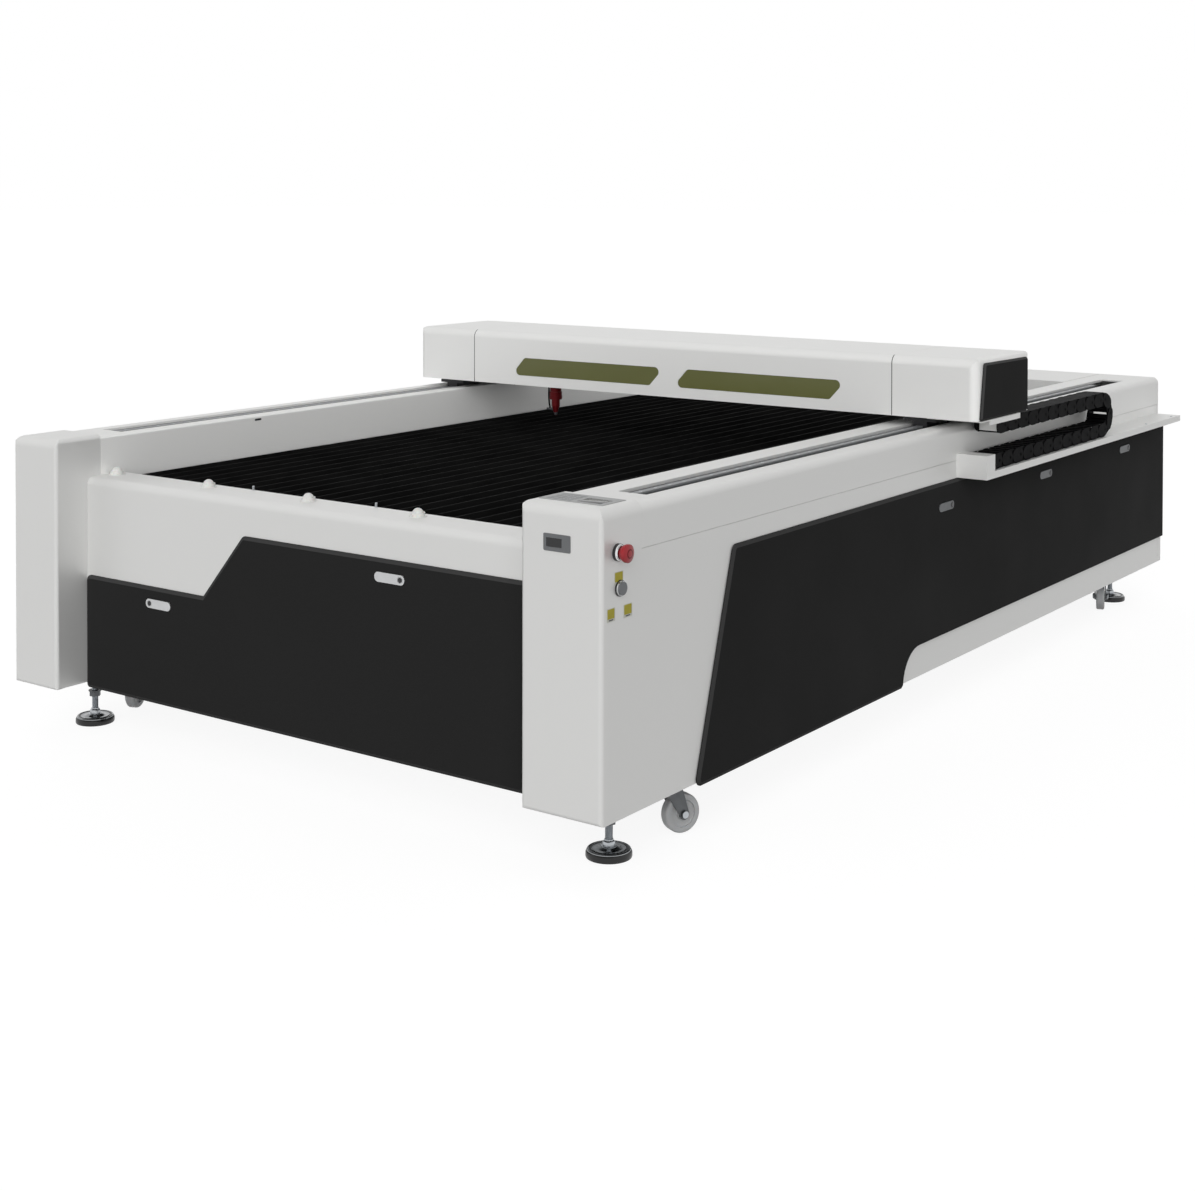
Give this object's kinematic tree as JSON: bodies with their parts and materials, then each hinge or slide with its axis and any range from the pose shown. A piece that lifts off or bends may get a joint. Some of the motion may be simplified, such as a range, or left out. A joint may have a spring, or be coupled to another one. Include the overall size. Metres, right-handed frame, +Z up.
{
  "type": "laser cutting machine",
  "caption": "Flatbed laser cutting machine with a slatted bed between two rail housings, a travelling gantry with a cable chain, and a base on feet and casters.",
  "frame": {"origin": "on the floor under the middle of the overall box", "axes": "+X to the operator's right, +Y from the operator's side to the rear, +Z up"},
  "size_m": [2.109, 3.5416, 1.013],
  "materials": {
    "white_powder_coat": "satin off-white powder coat",
    "grey_frame_paint": "satin mid-grey paint",
    "charcoal_powder_coat": "fine-textured charcoal powder coat",
    "black_anodised": "black anodised aluminium",
    "galvanised_sheet": "dull galvanised sheet",
    "rail_steel": "ground bearing steel",
    "plain_aluminium": "machined aluminium",
    "zinc_plated": "bright zinc-plated steel",
    "chrome_plated": "polished chrome plate",
    "belt_rubber": "black fabric-backed rubber",
    "black_nylon": "moulded black nylon",
    "white_nylon": "moulded white nylon",
    "panel_plastic": "grey membrane and plastic",
    "red_plastic": "semi-gloss red moulding",
    "dark_plastic": "semi-gloss dark moulding",
    "window_tint": "tinted acrylic",
    "borosilicate": "clear borosilicate glass",
    "red_anodised": "red anodised aluminium",
    "motor_black": "black painted motor case"
  },
  "bodies": {
    "machine_body": {"base_frame": "grey_frame_paint", "side_sheets": "white_powder_coat", "left_post_cover": "white_powder_coat", "right_post_cover": "white_powder_coat", "front_beam_cover": "white_powder_coat", "rear_cover": "white_powder_coat", "left_rail_housing": "white_powder_coat", "right_rail_housing": "white_powder_coat", "chain_tray": "white_powder_coat", "bed_slats": "black_anodised", "bed_cross_bars": "black_anodised", "dust_hopper": "galvanised_sheet", "y_rails": "rail_steel", "y_belts": "belt_rubber", "y_motor": "motor_black", "ball_transfers": "chrome_plated", "control_panel": "panel_plastic", "display_unit": "panel_plastic", "button_bezels": "dark_plastic", "chain_lower_run": "black_nylon"},
    "gantry": {"gantry_cover": "white_powder_coat", "gantry_end_covers": "white_powder_coat", "gantry_windows": "window_tint", "gantry_vent_panel": "charcoal_powder_coat", "gantry_beam": "plain_aluminium", "gantry_trucks": "plain_aluminium", "x_rail": "rail_steel", "x_drive": "motor_black", "laser_tube": "borosilicate", "optics_mounts": "black_anodised", "chain_bracket": "white_powder_coat", "chain_upper_run": "black_nylon"},
    "chain_loop_body": {"chain_loop": "black_nylon"},
    "chain_end_body": {"chain_upper_end": "black_nylon"},
    "head": {"head_carriage": "plain_aluminium", "laser_head": "red_anodised"},
    "focus_tube": {"lens_tube": "chrome_plated"},
    "idler_shafts": {"y_idlers": "plain_aluminium"},
    "drive_shaft": {"y_drive_shaft": "plain_aluminium"},
    "front_panel": {"front_access_panel": "charcoal_powder_coat"},
    "right_panel": {"right_side_panel": "charcoal_powder_coat"},
    "left_panel": {"left_side_panel": "charcoal_powder_coat"},
    "front_latch_l": {"front_latch_left": "zinc_plated"},
    "front_latch_r": {"front_latch_right": "zinc_plated"},
    "right_latches": {"right_side_latches": "zinc_plated"},
    "left_latches": {"left_side_latches": "zinc_plated"},
    "estop": {"estop_button": "red_plastic"},
    "push_button": {"push_button_cap": "dark_plastic"},
    "caster_fork_front_left": {"caster_fork_front_left": "zinc_plated"},
    "caster_wheel_front_left": {"caster_wheel_front_left": "white_nylon"},
    "caster_fork_front_right": {"caster_fork_front_right": "zinc_plated"},
    "caster_wheel_front_right": {"caster_wheel_front_right": "white_nylon"},
    "caster_fork_rear_left": {"caster_fork_rear_left": "zinc_plated"},
    "caster_wheel_rear_left": {"caster_wheel_rear_left": "white_nylon"},
    "caster_fork_rear_right": {"caster_fork_rear_right": "zinc_plated"},
    "caster_wheel_rear_right": {"caster_wheel_rear_right": "white_nylon"},
    "foot_front_left": {"foot_front_left": "zinc_plated"},
    "foot_front_right": {"foot_front_right": "zinc_plated"},
    "foot_rear_left": {"foot_rear_left": "zinc_plated"},
    "foot_rear_right": {"foot_rear_right": "zinc_plated"}
  },
  "joints": [
    {"name": "gantry_travel", "type": "slide", "parent": "machine_body", "child": "gantry", "axis": [0, 1, 0], "range_m": [-1.45, 1.05]},
    {"name": "chain_loop_travel", "type": "slide", "parent": "machine_body", "child": "chain_loop_body", "axis": [0, 1, 0], "range_m": [-0.725, 0.525], "deforming": ["chain_lower_run"]},
    {"name": "chain_end_travel", "type": "slide", "parent": "gantry", "child": "chain_end_body", "axis": [0, 1, 0], "range_m": [-0.525, 0.725], "deforming": ["chain_upper_run"]},
    {"name": "head_travel", "type": "slide", "parent": "gantry", "child": "head", "axis": [1, 0, 0], "range_m": [-0.165, 1.135]},
    {"name": "focus_travel", "type": "slide", "parent": "head", "child": "focus_tube", "axis": [0, 0, 1], "range_m": [-0.01, 0.01]},
    {"name": "idler_spin", "type": "hinge", "parent": "machine_body", "child": "idler_shafts", "pos_m": [-0.0405, -1.57325, 0.751], "axis": [-1, 0, 0], "range_deg": [-1700, 1250]},
    {"name": "drive_shaft_spin", "type": "hinge", "parent": "machine_body", "child": "drive_shaft", "pos_m": [-0.0405, 1.38275, 0.751], "axis": [-1, 0, 0], "range_deg": [-1700, 1250]},
    {"name": "front_panel_hinge", "type": "hinge", "parent": "machine_body", "child": "front_panel", "pos_m": [-0.0405, -1.66925, 0.13], "axis": [1, 0, 0], "range_deg": [0, 60]},
    {"name": "right_panel_hinge", "type": "hinge", "parent": "machine_body", "child": "right_panel", "pos_m": [0.9625, 0.16075, 0.13], "axis": [0, 1, 0], "range_deg": [0, 20]},
    {"name": "left_panel_hinge", "type": "hinge", "parent": "machine_body", "child": "left_panel", "pos_m": [-1.0435, 0.16075, 0.13], "axis": [0, -1, 0], "range_deg": [0, 20]},
    {"name": "front_latch_left_flap", "type": "hinge", "parent": "front_panel", "child": "front_latch_l", "pos_m": [-0.5605, -1.67225, 0.404], "axis": [-1, 0, 0], "range_deg": [0, 50]},
    {"name": "front_latch_right_flap", "type": "hinge", "parent": "front_panel", "child": "front_latch_r", "pos_m": [0.2645, -1.67225, 0.578], "axis": [-1, 0, 0], "range_deg": [0, 50]},
    {"name": "right_latch_flaps", "type": "hinge", "parent": "right_panel", "child": "right_latches", "pos_m": [0.9665, 0.62375, 0.602], "axis": [0, -1, 0], "range_deg": [0, 50]},
    {"name": "left_latch_flaps", "type": "hinge", "parent": "left_panel", "child": "left_latches", "pos_m": [-1.0475, 0.62375, 0.602], "axis": [0, 1, 0], "range_deg": [0, 50]},
    {"name": "estop_push", "type": "slide", "parent": "machine_body", "child": "estop", "axis": [-1, 0, 0], "range_m": [0, 0.005]},
    {"name": "button_push", "type": "slide", "parent": "machine_body", "child": "push_button", "axis": [-1, 0, 0], "range_m": [0, 0.003], "stiffness_N_per_m": 500},
    {"name": "caster_front_left_swivel", "type": "hinge", "parent": "machine_body", "child": "caster_fork_front_left", "pos_m": [-0.9595, -1.39725, 0.132], "axis": [0, 0, 1], "continuous": true},
    {"name": "caster_front_left_roll", "type": "hinge", "parent": "caster_fork_front_left", "child": "caster_wheel_front_left", "pos_m": [-0.94471, -1.42897, 0.0485], "axis": [-0.9063, -0.4226, 0], "continuous": true},
    {"name": "caster_front_right_swivel", "type": "hinge", "parent": "machine_body", "child": "caster_fork_front_right", "pos_m": [0.8785, -1.39725, 0.132], "axis": [0, 0, 1], "continuous": true},
    {"name": "caster_front_right_roll", "type": "hinge", "parent": "caster_fork_front_right", "child": "caster_wheel_front_right", "pos_m": [0.89329, -1.36553, 0.0485], "axis": [0.9063, -0.4226, 0], "continuous": true},
    {"name": "caster_rear_left_swivel", "type": "hinge", "parent": "machine_body", "child": "caster_fork_rear_left", "pos_m": [-0.9495, 1.36375, 0.132], "axis": [0, 0, 1], "continuous": true},
    {"name": "caster_rear_left_roll", "type": "hinge", "parent": "caster_fork_rear_left", "child": "caster_wheel_rear_left", "pos_m": [-0.96957, 1.39242, 0.0485], "axis": [0.8192, 0.5736, 0], "continuous": true},
    {"name": "caster_rear_right_swivel", "type": "hinge", "parent": "machine_body", "child": "caster_fork_rear_right", "pos_m": [0.8685, 1.36375, 0.132], "axis": [0, 0, 1], "continuous": true},
    {"name": "caster_rear_right_roll", "type": "hinge", "parent": "caster_fork_rear_right", "child": "caster_wheel_rear_right", "pos_m": [0.85653, 1.39664, 0.0485], "axis": [0.9397, 0.342, 0], "continuous": true},
    {"name": "foot_front_left_screw", "type": "slide", "parent": "machine_body", "child": "foot_front_left", "axis": [0, 0, -1], "range_m": [-0.015, 0.025]},
    {"name": "foot_front_right_screw", "type": "slide", "parent": "machine_body", "child": "foot_front_right", "axis": [0, 0, -1], "range_m": [-0.015, 0.025]},
    {"name": "foot_rear_left_screw", "type": "slide", "parent": "machine_body", "child": "foot_rear_left", "axis": [0, 0, -1], "range_m": [-0.015, 0.025]},
    {"name": "foot_rear_right_screw", "type": "slide", "parent": "machine_body", "child": "foot_rear_right", "axis": [0, 0, -1], "range_m": [-0.015, 0.025]}
  ],
  "couplings": [
    {"joint": "chain_loop_travel", "follows": "gantry_travel", "ratio": 0.5},
    {"joint": "chain_end_travel", "follows": "gantry_travel", "ratio": -0.5},
    {"joint": "idler_spin", "follows": "gantry_travel", "rad_per_m": 20},
    {"joint": "drive_shaft_spin", "follows": "gantry_travel", "rad_per_m": 20}
  ]
}
